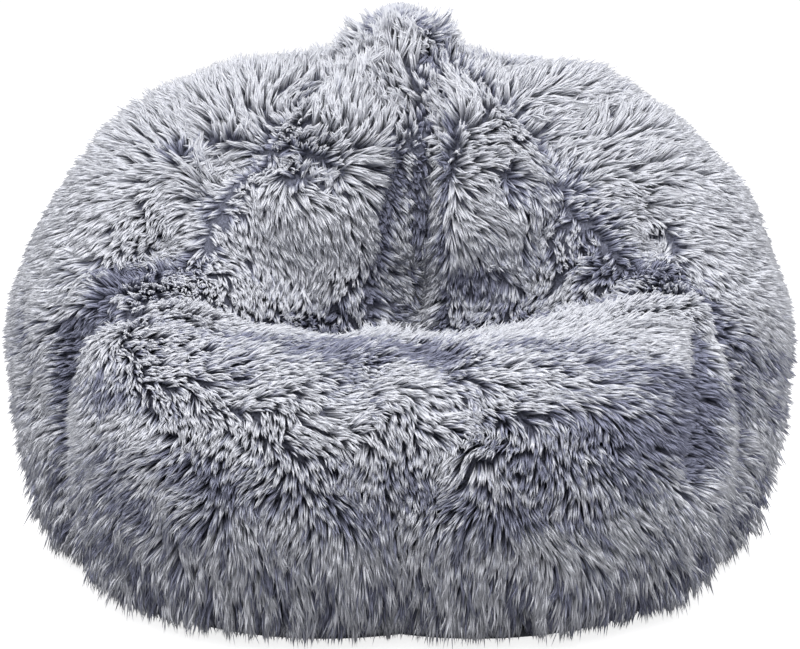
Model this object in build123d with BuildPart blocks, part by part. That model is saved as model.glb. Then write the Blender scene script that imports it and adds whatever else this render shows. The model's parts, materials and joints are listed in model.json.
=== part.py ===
"""Shaggy bean bag chair: a six-gore fur cover with a zipped base, a zipped liner and a bead filling."""

import os
from math import atan2, cos, hypot, radians, sin, tan

from build123d import *

os.makedirs("parts", exist_ok=True)

# Frame: X to the viewer's right, the seat faces -Y, Z up from the floor, millimetres
crown_y = 83.55  # the gores meet on an upright axis behind the middle of the bag

# Meridian profiles of the cover, as distance from the crown axis and height, over the pile
tip = (30.0, 610.0)
neck = (75.0, 588.0)
# Below the neck each profile has a dome, brow, crease, seat, lip, belly and foot
seat_seam = [(100, 510), (124, 410), (138, 296), (290, 335), (462, 342), (512, 160), (408, 0)]
seat_middle = [(150, 556), (196, 440), (170, 292), (310, 340), (490, 346), (540, 160), (444, 0)]
shoulder_seam = [(165, 540), (235, 478), (300, 436), (368, 405), (430, 345), (448, 140), (405, 0)]
# The sides and back share one rounded profile, as shares of its reach, and heights
round_profile = [(0.41, 578), (0.61, 540), (0.78, 475), (0.91, 395), (0.99, 290), (0.99, 110), (0.88, 0)]
side_reach = 468.0
back_reach = 366.0
side_seam_reach = 402.0
back_seam_reach = 330.0
seam_drop = 0.975  # the seams of the sides and back lie a little lower than the gores between them
corner_share = 0.45  # of the shorter run at a corner, taken up by its rounding

# Layers, from the pile inwards
pile = 35.0  # fur cloth with its pile laid down
layer_gap = 1.0
liner_cloth = 2.0
liner_out = pile + 3 * layer_gap  # the liner hangs slack inside the cover
liner_in = liner_out + liner_cloth
fill_out = liner_in + layer_gap

# Foot of the cover, where the gores are sewn to the base
base_thick = 12.0
hem = 45.0  # width of the turned-in foot of each gore
hem_lap = 9.0
hem_top = base_thick + 2.0
liner_hem = hem + 20.0
liner_lap = 5.0
liner_top = base_thick + liner_cloth
fill_hem = liner_hem + liner_lap + 3.0

# Crown cap over the gathered tips of the gores, and the patch that closes the liner below it
cap_radius = 50.0
cap_low = 572.0
cap_side = 598.0
cap_high = cap_side + cap_radius
patch_radius = 48.0
patch_low = 553.0
patch_high = 557.5
core_radius = 24.0
core_start = 8.0  # the wedges of the filling begin this far from the axis

# Zip across the base of the cover
zip_length = 480.0
zip_level = 8.0  # middle of the chain above the floor
zip_tape = 1.0
zip_channel = 8.0  # half of the gap between the two base panels
tape_seat = 20.0
tape_width = 16.0
tape_spare = 18.0  # tape beyond each end of the chain
tooth_pitch = 4.8
tooth_root = 3.2  # from the middle of the chain to the edge of the tape
tooth_reach = 1.2  # past the middle of the chain
tooth_half_root = 1.3
tooth_half_head = 0.8
tooth_thick = 3.2
slider_length = 18.0
slider_half = 5.6
slider_flare = 1.0
slider_plate = 1.2
slider_space = 4.0  # between the plates
slider_rim = 1.0
slot = 1.7  # for the tape, between the rims
post_tip = 0.35  # the post that parts the rows, as shares of half the slider's length
post_back = 0.8
stop_length = 3.0
stop_gap = 2.5
pin_radius = 0.7
pin_play = 0.05
pin_drop = 1.1  # from the lower plate to the middle of the pin
pin_half = 3.4
ear_thick = 1.2
ear_half = 1.6
pull_length = 27.0
pull_half = 3.6
pull_thick = 1.4
pull_hole = 1.6
pull_leaf = 0.7  # share of the pull that has its full width
pull_hole_at = 0.8

# Zip in the base of the liner, a finer coil whose slider has no pull
liner_zip_y = 90.0
liner_zip_length = 380.0
liner_zip_level = 14.4
liner_zip_tape = 0.8
liner_channel = 5.0
coil_radius = 0.95
coil_half = 1.0
liner_tape_width = 11.0
liner_slider_length = 11.0
liner_slider_half = 3.4
liner_slider_plate = 0.8
liner_slider_space = 2.6
liner_slot = 1.4
liner_span = liner_zip_length + 4 * liner_slider_length  # opening of the liner for its zip
fill_channel_half = 14.0
fill_channel_top = 18.0

seam_step = 60
gores = {
    "front_right": 0,
    "side_right": 60,
    "back_right": 120,
    "back_left": 180,
    "side_left": 240,
    "front_left": 300,
}


def scaled(reach, drop):
    """The rounded profile of the sides and back, at a reach and with its heights lowered."""
    return [(share * reach, height * drop) for share, height in round_profile]


profiles = {
    0: seat_seam,
    30: seat_middle,
    60: shoulder_seam,
    90: scaled(side_reach, 1.0),
    120: scaled(side_seam_reach, seam_drop),
    150: scaled(back_reach, 1.0),
    180: scaled(back_seam_reach, seam_drop),
}


def meridian(azimuth):
    """Upright plane through the crown axis: its x runs outwards and its y runs up."""
    turn = radians(azimuth)
    outwards = (sin(turn), -cos(turn), 0)
    return Plane(origin=(0, crown_y, 0), x_dir=outwards, z_dir=(-cos(turn), -sin(turn), 0))


def corners(azimuth):
    """Corner points of the cover's profile at an azimuth, the same on both sides of the bag."""
    mirrored = azimuth % 360
    if mirrored > 180:
        mirrored = 360 - mirrored
    return [tip, neck] + profiles[mirrored]


def directions(points):
    """Unit direction of each run of a profile."""
    runs = []
    for (x0, z0), (x1, z1) in zip(points, points[1:]):
        length = hypot(x1 - x0, z1 - z0)
        runs.append(((x1 - x0) / length, (z1 - z0) / length))
    return runs


def inset(points, distance):
    """Corner points of the line that runs parallel to a profile, that far inside it."""
    runs = directions(points)
    inner = [(points[0][0] + distance * runs[0][1], points[0][1] - distance * runs[0][0])]
    for point, before, after in zip(points[1:], runs, runs[1:]):
        share = distance / (1 + before[0] * after[0] + before[1] * after[1])
        x = point[0] + share * (before[1] + after[1])
        z = point[1] - share * (before[0] + after[0])
        inner.append((x, z))
    return inner


def corner_radii(points):
    """Radius at each corner of a profile, as large as its two runs allow."""
    runs = directions(points)
    lengths = [hypot(b[0] - a[0], b[1] - a[1]) for a, b in zip(points, points[1:])]
    radii = []
    for index in range(len(runs) - 1):
        before, after = runs[index], runs[index + 1]
        cross = before[0] * after[1] - before[1] * after[0]
        dot = before[0] * after[0] + before[1] * after[1]
        shorter = min(lengths[index], lengths[index + 1])
        radii.append(corner_share * shorter / tan(abs(atan2(cross, dot)) / 2))
    return radii


def cover_section(azimuth):
    """Section of the fur cover: rounded outside, tucked into the creases inside, hemmed at its foot."""
    outer = corners(azimuth)
    hem_edge = outer[-1][0] - hem - hem_lap
    inner = inset(outer, pile) + [(hem_edge, hem_top), (hem_edge, 0)]
    with BuildSketch(meridian(azimuth)) as section:
        with BuildLine():
            FilletPolyline(*outer, radius=corner_radii(outer))
            Polyline(outer[0], *inner, outer[-1])
        make_face()
    return section.sketch


def liner_section(azimuth):
    """Section of the liner, which lines the cover and stands on its base."""
    profile = corners(azimuth)
    hem_edge = profile[-1][0] - liner_hem
    outer = inset(profile, liner_out) + [(hem_edge, base_thick), (hem_edge - liner_lap, base_thick)]
    inner = inset(profile, liner_in) + [(hem_edge - liner_lap, liner_top)]
    with BuildSketch(meridian(azimuth)) as section:
        with BuildLine():
            Polyline(*outer, *inner[::-1], close=True)
        make_face()
    return section.sketch


def fill_section(azimuth):
    """Section of the bead filling, from its outer skin in to the core."""
    profile = corners(azimuth)
    outer = inset(profile, fill_out) + [(profile[-1][0] - fill_hem, liner_top)]
    with BuildSketch(meridian(azimuth)) as section:
        with BuildLine():
            Polyline(*outer, (core_start, liner_top), (core_start, outer[0][1]), close=True)
        make_face()
    return section.sketch


def base_outline(inward, level):
    """Closed outline that lies a distance inside the cover's foot, one arc to each gore."""
    with BuildSketch(Plane.XY.offset(level)) as outline:
        with BuildLine():
            for start in gores.values():
                ends = []
                for azimuth in azimuths(start):
                    reach = corners(azimuth)[-1][0] - inward
                    ends.append(meridian(azimuth).from_local_coords((reach, 0, 0)))
                ThreePointArc(*ends)
        make_face()
    return outline.sketch


def azimuths(start):
    """The two seams of a gore and the middle between them."""
    return (start, start + seam_step / 2, start + seam_step)


def finish(builder, name):
    """Label a piece with its node's name and write it."""
    builder.part.label = name
    export_step(builder.part, f"parts/{name}.step")


# Crown cap, a stuffed button of fur over the tips of the gores
with BuildPart() as crown_cap:
    with BuildSketch(meridian(90)):
        with BuildLine():
            Polyline((0, cap_high), (0, cap_low), (cap_radius, cap_low), (cap_radius, cap_side))
            CenterArc((0, cap_side), cap_radius, 0, 90)
        make_face()
    revolve(axis=Axis((0, crown_y, 0), (0, 0, 1)))
finish(crown_cap, "crown_cap")

# Gores of the cover, cut to the base's edge and to the crown cap
for gore, start in gores.items():
    with BuildPart() as cover_gore:
        loft([cover_section(azimuth) for azimuth in azimuths(start)])
        extrude(base_outline(hem, 0), amount=base_thick, mode=Mode.SUBTRACT)
        add(crown_cap.part, mode=Mode.SUBTRACT)
    finish(cover_gore, f"{gore}_gore")

# Gores of the liner, cut to its base and to the patch at its crown
for gore, start in gores.items():
    with BuildPart() as liner_gore:
        loft([liner_section(azimuth) for azimuth in azimuths(start)])
        extrude(base_outline(liner_hem, base_thick), amount=liner_cloth, mode=Mode.SUBTRACT)
        with Locations((0, crown_y, patch_low)):
            Cylinder(
                patch_radius,
                cap_high,
                align=(Align.CENTER, Align.CENTER, Align.MIN),
                mode=Mode.SUBTRACT,
            )
    finish(liner_gore, f"liner_{gore}_gore")

# Patch that closes the crown of the liner
with BuildPart() as liner_crown_patch:
    with BuildSketch(Plane((0, crown_y, patch_low))):
        Circle(patch_radius)
    extrude(amount=patch_high - patch_low)
finish(liner_crown_patch, "liner_crown_patch")

# Bead filling, one wedge to each gore round a slim core
with BuildPart() as bead_fill:
    for start in gores.values():
        loft([fill_section(azimuth) for azimuth in azimuths(start)])
    with Locations((0, crown_y, liner_top)):
        Cylinder(core_radius, patch_low - liner_top, align=(Align.CENTER, Align.CENTER, Align.MIN))
    with Locations((0, crown_y, patch_low - layer_gap)):
        Cylinder(
            patch_radius + layer_gap,
            cap_high - patch_low,
            align=(Align.CENTER, Align.CENTER, Align.MIN),
            mode=Mode.SUBTRACT,
        )
    with Locations((0, liner_zip_y, liner_top)):
        Box(
            liner_span,
            2 * fill_channel_half,
            fill_channel_top - liner_top,
            align=(Align.CENTER, Align.CENTER, Align.MIN),
            mode=Mode.SUBTRACT,
        )
finish(bead_fill, "bead_fill")

# Base of the cover, two panels that part along the zip and are sewn together beyond its ends
zip_span = zip_length + 2 * pull_length
for name, side in (("base_front_panel", -1), ("base_back_panel", 1)):
    with BuildPart() as base_panel:
        extrude(base_outline(hem, 0), amount=base_thick)
        split(bisect_by=Plane.XZ, keep=Keep.TOP if side < 0 else Keep.BOTTOM)
        Box(zip_span, 2 * zip_channel, 3 * base_thick, mode=Mode.SUBTRACT)
        with Locations((0, 0, zip_level - zip_tape / 2)):
            Box(
                zip_span,
                2 * tape_seat,
                base_thick,
                align=(Align.CENTER, Align.CENTER, Align.MIN),
                mode=Mode.SUBTRACT,
            )
    finish(base_panel, name)

# Base of the liner, two panels either side of its own zip
for name, side in (("liner_base_front_panel", -1), ("liner_base_back_panel", 1)):
    with BuildPart() as liner_base_panel:
        extrude(base_outline(liner_hem, base_thick), amount=liner_cloth)
        split(bisect_by=Plane.XZ.offset(-liner_zip_y), keep=Keep.TOP if side < 0 else Keep.BOTTOM)
        with Locations((0, liner_zip_y, base_thick)):
            Box(liner_span, 2 * liner_channel, base_thick, mode=Mode.SUBTRACT)
    finish(liner_base_panel, name)


def tape(middle, level, length, root, width, thick, side):
    """Woven tape on one side of a chain."""
    with BuildPart() as woven:
        with BuildSketch(Plane((0, middle, level - thick / 2))):
            with Locations((0, side * (root + width / 2))):
                Rectangle(length, width)
        extrude(amount=thick)
    return woven


def slider_body(middle, level, length, half, flare, plate, space, rim, opening):
    """Two plates on a wedge-shaped post, with rims that leave a slot for the tapes."""
    nose = length / 2
    outline = [(-nose, -half), (0, -half), (nose / 2, -half - flare), (nose, -half), (nose, half)]
    outline += [(nose / 2, half + flare), (0, half), (-nose, half)]
    with BuildPart() as body:
        with BuildSketch(Plane((middle[0], middle[1], level - space / 2 - plate))) as lower:
            Polygon(*outline, align=None)
        extrude(amount=plate)
        extrude(lower.sketch.moved(Location((0, 0, plate + space))), amount=plate)
        with BuildSketch(Plane((middle[0], middle[1], level - space / 2))) as rims:
            Polygon(*outline, align=None)
            Rectangle(2 * length, 2 * (half - rim), mode=Mode.SUBTRACT)
        extrude(amount=(space - opening) / 2)
        extrude(rims.sketch.moved(Location((0, 0, (space + opening) / 2))), amount=(space - opening) / 2)
        with BuildSketch(Plane((middle[0], middle[1], level - space / 2))):
            back = nose * post_back
            Polygon((nose * post_tip, 0), (back, -half / 3), (back, half / 3), align=None)
        extrude(amount=space)
    return body


# Cover zip: tapes, teeth, stops, slider and pull
chain_end = zip_length / 2
slider_x = chain_end - slider_length / 2
tooth_count = int((zip_length - slider_length / 2) // tooth_pitch)
for name, side in (("front", -1), ("back", 1)):
    woven = tape(0, zip_level, zip_length + 2 * tape_spare, tooth_root, tape_width, zip_tape, side)
    finish(woven, f"cover_zip_{name}_tape")
    tooth = [
        (-tooth_half_root, tooth_root * side),
        (tooth_half_root, tooth_root * side),
        (tooth_half_head, -tooth_reach * side),
        (-tooth_half_head, -tooth_reach * side),
    ]
    first = -chain_end + tooth_pitch * (1.0 if side < 0 else 1.5)
    with BuildPart() as teeth:
        with BuildSketch(Plane.XY.offset(zip_level - tooth_thick / 2)):
            with Locations(*[(first + index * tooth_pitch, 0) for index in range(tooth_count - 1)]):
                Polygon(*tooth, align=None)
        extrude(amount=tooth_thick)
    finish(teeth, f"cover_zip_{name}_teeth")

with BuildPart() as cover_zip_stops:
    with Locations((-chain_end, 0, zip_level)):
        Box(stop_length, 2 * tooth_root, tooth_thick)
    stop_x = chain_end + stop_gap + stop_length / 2
    stop_width = tooth_root / 2
    with Locations(*[(stop_x, side * (tooth_root - stop_width / 2), zip_level) for side in (-1, 1)]):
        Box(stop_length, stop_width, tooth_thick)
finish(cover_zip_stops, "cover_zip_stops")

pin_z = zip_level - slider_space / 2 - slider_plate - pin_drop
pin_x = slider_x + slider_length / 6
with BuildPart() as cover_zip_slider:
    add(
        slider_body(
            (slider_x, 0),
            zip_level,
            slider_length,
            slider_half,
            slider_flare,
            slider_plate,
            slider_space,
            slider_rim,
            slot,
        ).part
    )
    for ear_y in (-pin_half, pin_half - ear_thick):
        with BuildSketch(Plane.XZ.offset(-ear_y)):
            with Locations((pin_x, pin_z)):
                Circle(ear_half)
                with Locations((0, pin_drop / 2)):
                    Rectangle(2 * ear_half, pin_drop)
                Circle(pin_radius + pin_play, mode=Mode.SUBTRACT)
        extrude(amount=-ear_thick)
finish(cover_zip_slider, "cover_zip_slider")

with BuildPart() as cover_zip_pull:
    with BuildSketch(Plane.XZ.offset(pin_half)):
        with Locations((pin_x, pin_z)):
            Circle(pin_radius)
    extrude(amount=-2 * pin_half)
    with BuildSketch(Plane.XY.offset(pin_z - pull_thick / 2)) as leaf:
        neck_half = pin_half - ear_thick - 2 * pin_play
        with Locations((pin_x + pull_length / 4, 0)):
            Rectangle(pull_length / 2, 2 * neck_half)
        with Locations((pin_x + pull_length * (1 - pull_leaf / 2), 0)):
            Rectangle(pull_length * pull_leaf, 2 * pull_half)
        fillet(leaf.vertices().group_by(Axis.X)[-1], pull_half / 2)
        with Locations((pin_x + pull_length * pull_hole_at, 0)):
            Circle(pull_hole, mode=Mode.SUBTRACT)
    extrude(amount=pull_thick)
finish(cover_zip_pull, "cover_zip_pull")

# Liner zip: tapes, plain coils, stops and a slider without a pull
liner_chain_end = liner_zip_length / 2
coil_edge = coil_half + coil_radius + pin_play
for name, side in (("front", -1), ("back", 1)):
    tape_length = liner_zip_length + 2 * liner_slider_length
    placing = (liner_zip_y, liner_zip_level, tape_length)
    woven = tape(*placing, coil_edge, liner_tape_width, liner_zip_tape, side)
    finish(woven, f"liner_zip_{name}_tape")
    with BuildPart() as coil:
        with BuildSketch(Plane.YZ.offset(-liner_chain_end + stop_length)):
            with Locations((liner_zip_y + side * coil_half, liner_zip_level)):
                Circle(coil_radius)
        extrude(amount=liner_zip_length - stop_length - liner_slider_length / 2)
    finish(coil, f"liner_zip_{name}_coil")

with BuildPart() as liner_zip_stops:
    for stop_x in (-liner_chain_end, liner_chain_end + stop_gap + stop_length):
        with Locations((stop_x, liner_zip_y, liner_zip_level)):
            Box(stop_length, 2 * coil_edge, 2 * coil_radius)
finish(liner_zip_stops, "liner_zip_stops")

liner_zip_slider = slider_body(
    (liner_chain_end - liner_slider_length / 2, liner_zip_y),
    liner_zip_level,
    liner_slider_length,
    liner_slider_half,
    slider_flare,
    liner_slider_plate,
    liner_slider_space,
    slider_rim,
    liner_slot,
)
finish(liner_zip_slider, "liner_zip_slider")
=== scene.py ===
import json
import math
from typing import NamedTuple

import bmesh
import bpy
import numpy as np
from bpy.props import FloatProperty, FloatVectorProperty, IntProperty, PointerProperty
from mathutils import Matrix, Vector
from mathutils.bvhtree import BVHTree

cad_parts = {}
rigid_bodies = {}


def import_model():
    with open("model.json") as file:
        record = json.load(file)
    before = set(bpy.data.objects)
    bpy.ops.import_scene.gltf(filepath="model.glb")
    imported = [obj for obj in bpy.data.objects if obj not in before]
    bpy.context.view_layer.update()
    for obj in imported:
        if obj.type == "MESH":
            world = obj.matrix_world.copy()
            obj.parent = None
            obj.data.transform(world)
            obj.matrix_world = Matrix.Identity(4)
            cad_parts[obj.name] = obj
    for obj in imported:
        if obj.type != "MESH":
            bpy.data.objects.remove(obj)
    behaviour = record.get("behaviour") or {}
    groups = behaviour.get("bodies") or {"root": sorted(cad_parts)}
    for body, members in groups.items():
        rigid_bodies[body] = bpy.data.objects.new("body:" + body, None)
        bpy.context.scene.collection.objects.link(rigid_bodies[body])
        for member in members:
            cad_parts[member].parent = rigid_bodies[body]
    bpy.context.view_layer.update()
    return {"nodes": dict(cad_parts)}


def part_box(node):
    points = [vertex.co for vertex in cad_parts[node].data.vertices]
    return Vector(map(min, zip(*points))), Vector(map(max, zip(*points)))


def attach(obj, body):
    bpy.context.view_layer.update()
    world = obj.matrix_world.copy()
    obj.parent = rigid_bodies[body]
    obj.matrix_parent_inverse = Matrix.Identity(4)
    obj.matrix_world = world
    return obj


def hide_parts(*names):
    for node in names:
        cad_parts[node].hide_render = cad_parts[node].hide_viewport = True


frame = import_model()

bl_info = {
    "name": "Shaggy Bean Bag Chair",
    "version": (1, 0, 0),
    "blender": (4, 5, 0),
    "location": "View3D > Sidebar > Bean Bag",
    "description": "Dresses the solids of a bean bag chair in long pile, cloth, zips and beads",
    "category": "Object",
}

# Gores by the azimuth of their first seam, in degrees: 0 is the middle of the seat, 90 the right side
GORES = {
    "front_right": 0,
    "side_right": 60,
    "back_right": 120,
    "back_left": 180,
    "side_left": 240,
    "front_left": 300,
}
GORE_SPAN = 60
PILE_UV = "OFBake"

cap_low, cap_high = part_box("crown_cap")
CROWN = Vector(((cap_low.x + cap_high.x) / 2, (cap_low.y + cap_high.y) / 2, 0.0))
CROWN_RADIUS = (cap_high.x - cap_low.x) / 2
CROWN_TOP = cap_high.z


def length(name, text, default, low=0.0):
    """A size in metres that a user may change."""
    return FloatProperty(name=name, description=text, default=default, min=low, precision=4, unit="LENGTH")


def share(name, text, default, low=0.0, high=1.0):
    """A share or strength that a user may change."""
    return FloatProperty(name=name, description=text, default=default, min=low, max=high)


def angle(name, text, degrees):
    """An angle that a user may change."""
    return FloatProperty(name=name, description=text, default=math.radians(degrees), subtype="ANGLE")


def colour(name, text, default):
    """A linear colour that a user may change."""
    return FloatVectorProperty(
        name=name, description=text, default=default, size=3, min=0.0, max=1.0, subtype="COLOR"
    )


def power(name, text, watts):
    """The power of a lamp that a user may change."""
    return FloatProperty(name=name, description=text, default=watts, unit="POWER")


class CoverSettings(bpy.types.PropertyGroup):
    pile_depth: length("Pile depth", "From the outside of the fur in to its backing cloth", 0.033)
    cloth: length("Cloth thickness", "Thickness of the knitted backing", 0.003)
    columns: IntProperty(name="Columns", description="Faces across each gore", default=24, min=8)
    rows: IntProperty(name="Rows", description="Faces from the crown to the foot", default=84, min=24)
    pressure: share("Fill pressure", "Push of the beads on the cloth", 2.0, 0.0, 20.0)
    slack: share("Slack", "Spare cloth between the seams", 0.03, 0.0, 0.2)
    swell: length("Swell", "Furthest that the filling moves the cloth", 0.009)
    seam_depth: length("Seam depth", "How far the seams draw the cloth in", 0.026)
    seam_width: share("Seam width", "Width of a seam's groove in degrees", 4.5, 0.1, 30.0)
    backing: colour("Backing", "Colour of the knitted backing", (0.19, 0.2, 0.27))


class PileSettings(bpy.types.PropertyGroup):
    spacing: length("Lock spacing", "From one lock of fur to the next", 0.0073, 0.004)
    strands: IntProperty(name="Strands", description="Strands in each lock", default=6, min=1)
    strand_length: length("Pile length", "Length of a strand", 0.032)
    fringe_length: length("Fringe length", "Length of a strand at the floor", 0.075)
    radius: length("Strand radius", "Half the width of a strand near its root", 0.0016)
    clump: length("Clump", "Width of the hanging clumps near the floor", 0.026, 0.005)
    gather: share("Gathering", "How far the tips of a lock close up", 0.66)
    lift: share("Lift", "How steeply the pile stands at its root", 1.0, 0.0, 2.0)
    swirl: angle("Swirl", "How far the pile wanders", 22)
    seam_trim: share("Seam trim", "How much shorter the pile is along the seams", 0.6)
    seam_width: length("Seam width", "How far from a seam the pile is shorter", 0.027)
    seed: IntProperty(name="Seed", description="Start of the scatter", default=7, min=0)
    root: colour("Root", "Colour of the pile at its root", (0.24, 0.25, 0.335))
    middle: colour("Middle", "Colour of the pile half way up", (0.47, 0.485, 0.56))
    tip: colour("Tip", "Colour of the frosted tips", (0.65, 0.66, 0.71))


class BaseSettings(bpy.types.PropertyGroup):
    cloth: colour("Base cloth", "Colour of the hard-wearing base cloth", (0.07, 0.075, 0.09))
    thread: colour("Thread", "Colour of the stitching", (0.2, 0.21, 0.24))
    weave: length("Weave", "From one thread of the base cloth to the next", 0.0016)
    edge: length("Edge", "Roundness of the sewn edges", 0.0025)
    stitch: length("Stitch", "Length of a stitch", 0.005)
    stitch_gap: length("Stitch gap", "Space between two stitches", 0.0025)
    seam_margin: length("Seam margin", "From the edge of a panel in to its stitching", 0.007)
    recess: length("Recess", "How far the cloth lies above the floor between its stitches", 0.0008)


class ZipSettings(bpy.types.PropertyGroup):
    tape: colour("Tape", "Colour of the cover's zip tape", (0.06, 0.065, 0.08))
    teeth: colour("Teeth", "Colour of the moulded teeth", (0.11, 0.115, 0.13))
    metal: colour("Metal", "Colour of the slider and pull", (0.62, 0.62, 0.6))
    liner_tape: colour("Liner tape", "Colour of the liner's zip tape", (0.66, 0.65, 0.62))
    coil: colour("Coil", "Colour of the liner's coil", (0.55, 0.55, 0.53))


class LinerSettings(bpy.types.PropertyGroup):
    depth: length("Liner depth", "From the outside of the fur in to the liner", 0.062)
    cloth: length("Cloth thickness", "Thickness of the liner", 0.002)
    tuck: length("Tuck", "How far the foot of the liner turns in over its base", 0.014)
    weave: length("Weave", "From one thread of the liner to the next", 0.0011)
    white: colour("Liner cloth", "Colour of the plain liner", (0.7, 0.69, 0.66))
    fill_depth: length("Filling depth", "From the outside of the fur in to the beads", 0.068)
    bead: length("Bead", "Width of a bead of the filling", 0.005)
    bead_white: colour("Beads", "Colour of the filling", (0.82, 0.82, 0.81))


class StageSettings(bpy.types.PropertyGroup):
    distance: length("Camera distance", "From the camera to the point it looks at", 3.2)
    elevation: angle("Camera elevation", "Height of the camera above the horizon", 14)
    aim: length("Aim height", "Height of the point the camera looks at", 0.277)
    lens: FloatProperty(name="Lens", description="Focal length", default=124.6, unit="CAMERA")
    key: power("Key light", "Power of the overhead light", 94)
    back: power("Back light", "Power of the back light", 50)
    fill: power("Fill light", "Power of the front light", 6)
    sides: power("Side lights", "Power of each side light", 26)
    sky: share("Sky", "Strength of the light from all round", 0.5, 0.0, 2.0)
    floor: colour("Floor", "Colour of the floor", (0.3, 0.3, 0.31))
    floor_glow: share("Floor glow", "White that the floor shows on top of its light and shadow", 0.84)


def settings(group):
    """The scene's settings for one part of the chair."""
    return getattr(bpy.context.scene, "bean_bag_" + group)


# Materials


def node(tree, kind, inputs=None, **properties):
    """Add a shader node; inputs are values, or sockets to link."""
    made = tree.nodes.new("ShaderNode" + kind)
    for name, value in properties.items():
        setattr(made, name, value)
    for name, value in (inputs or {}).items():
        if isinstance(value, bpy.types.NodeSocket):
            tree.links.new(value, made.inputs[name])
        else:
            made.inputs[name].default_value = value
    return made


def shader(name, **inputs):
    """A new material with a Principled shader, and its tree."""
    material = bpy.data.materials.new(name)
    material.use_nodes = True
    tree = material.node_tree
    tree.nodes.clear()
    surface = node(tree, "BsdfPrincipled", {key.replace("_", " "): value for key, value in inputs.items()})
    node(tree, "OutputMaterial", {"Surface": surface.outputs["BSDF"]})
    return material, tree, surface


def tint(value):
    """A colour property as the four numbers of a colour socket."""
    return (value[0], value[1], value[2], 1.0)


def darker(value, part):
    """A colour with only part of its light."""
    return [channel * part for channel in value]


def ramp(tree, factor, stops):
    """Colour ramp through (place, colour) stops."""
    made = node(tree, "ValToRGB", {"Fac": factor})
    elements = made.color_ramp.elements
    while len(elements) < len(stops):
        elements.new(1.0)
    for element, (place, value) in zip(elements, stops):
        element.position = place
        element.color = tint(value)
    return made.outputs["Color"]


TONE_CURVE = 1.6  # power by which the tone of a strand falls off
PALE_SHIFT = 0.5  # along the strand's colours, from the root to the tip, for the palest strand
DARK_SHIFT = -0.8  # and for the darkest


def pile_material():
    """Frosted fur: dark roots, slate middle and silver tips, each lock a little different in a tone that
    also carries painted light and shade.
    """
    pile = settings("pile")
    material, tree, surface = shader("shaggy_pile", Roughness=0.8)
    surface.inputs["Specular IOR Level"].default_value = 0.15
    uv = node(tree, "UVMap", uv_map=PILE_UV)
    place = node(tree, "SeparateXYZ", {"Vector": uv.outputs["UV"]})
    short = node(tree, "Math", {0: 1.0, 1: place.outputs["X"]}, operation="SUBTRACT", use_clamp=True)
    curved = node(tree, "Math", {0: short.outputs["Value"], 1: TONE_CURVE}, operation="POWER")
    shift = {"Value": curved.outputs["Value"], "To Min": PALE_SHIFT, "To Max": DARK_SHIFT}
    tone = node(tree, "MapRange", shift).outputs["Result"]
    along = node(tree, "Math", {0: place.outputs["Y"], 1: tone}, operation="ADD", use_clamp=True)
    stops = [(0.0, pile.root), (0.2, pile.root), (0.5, pile.middle), (0.78, pile.tip), (1.0, pile.tip)]
    tree.links.new(ramp(tree, along.outputs["Value"], stops), surface.inputs["Base Color"])
    return material


def backing_material():
    """Knitted backing cloth under the pile."""
    backing = settings("cover").backing
    material, tree, surface = shader("pile_backing", Roughness=0.9)
    place = node(tree, "TexCoord").outputs["Object"]
    knit = node(tree, "TexVoronoi", {"Vector": place, "Scale": 420.0})
    # Painted shade: the knit darkens between its loops
    shade = [(0.0, backing), (0.7, darker(backing, 0.45))]
    tree.links.new(ramp(tree, knit.outputs["Distance"], shade), surface.inputs["Base Color"])
    bump = node(tree, "Bump", {"Height": knit.outputs["Distance"], "Strength": 0.5, "Distance": 0.001})
    tree.links.new(bump.outputs["Normal"], surface.inputs["Normal"])
    return material


WAVE_PERIOD = 0.314  # a Wave texture's bands lie this far apart at a scale of 1
FACTOR, FIRST_COLOUR, SECOND_COLOUR = 0, 6, 7  # a Mix node's sockets share their names, so these are places
MIXED_COLOUR = 2


def woven_material(name, thread, spacing, roughness, uv=None):
    """Plain weave: two sets of threads over and under each other, slubbed and a little uneven."""
    material, tree, surface = shader(name, Roughness=roughness)
    if uv:
        place = node(tree, "UVMap", uv_map=uv).outputs["UV"]
    else:
        place = node(tree, "TexCoord").outputs["Object"]
    threads = []
    for direction in ("X", "Y"):
        wave = node(
            tree,
            "TexWave",
            {"Vector": place, "Scale": WAVE_PERIOD / spacing, "Distortion": 1.5, "Detail": 1.0},
            bands_direction=direction,
        )
        threads.append(wave.outputs["Fac"])
    height = node(tree, "Math", {0: threads[0], 1: threads[1]}, operation="MAXIMUM").outputs["Value"]
    # Painted shade: the cloth darkens where its threads dip, between them
    shade = ramp(tree, height, [(0.3, darker(thread, 0.4)), (0.9, thread)])
    slub = node(tree, "TexNoise", {"Vector": place, "Scale": 55.0, "Detail": 4.0}).outputs["Fac"]
    dust = ramp(tree, slub, [(0.3, (0.72, 0.72, 0.72)), (0.7, (1.0, 1.0, 1.0))])
    colours = {FACTOR: 1.0, FIRST_COLOUR: shade, SECOND_COLOUR: dust}
    mixed = node(tree, "Mix", colours, data_type="RGBA", blend_type="MULTIPLY")
    tree.links.new(mixed.outputs[MIXED_COLOUR], surface.inputs["Base Color"])
    bump = node(tree, "Bump", {"Height": height, "Strength": 0.6, "Distance": spacing / 2})
    tree.links.new(bump.outputs["Normal"], surface.inputs["Normal"])
    return material


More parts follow.
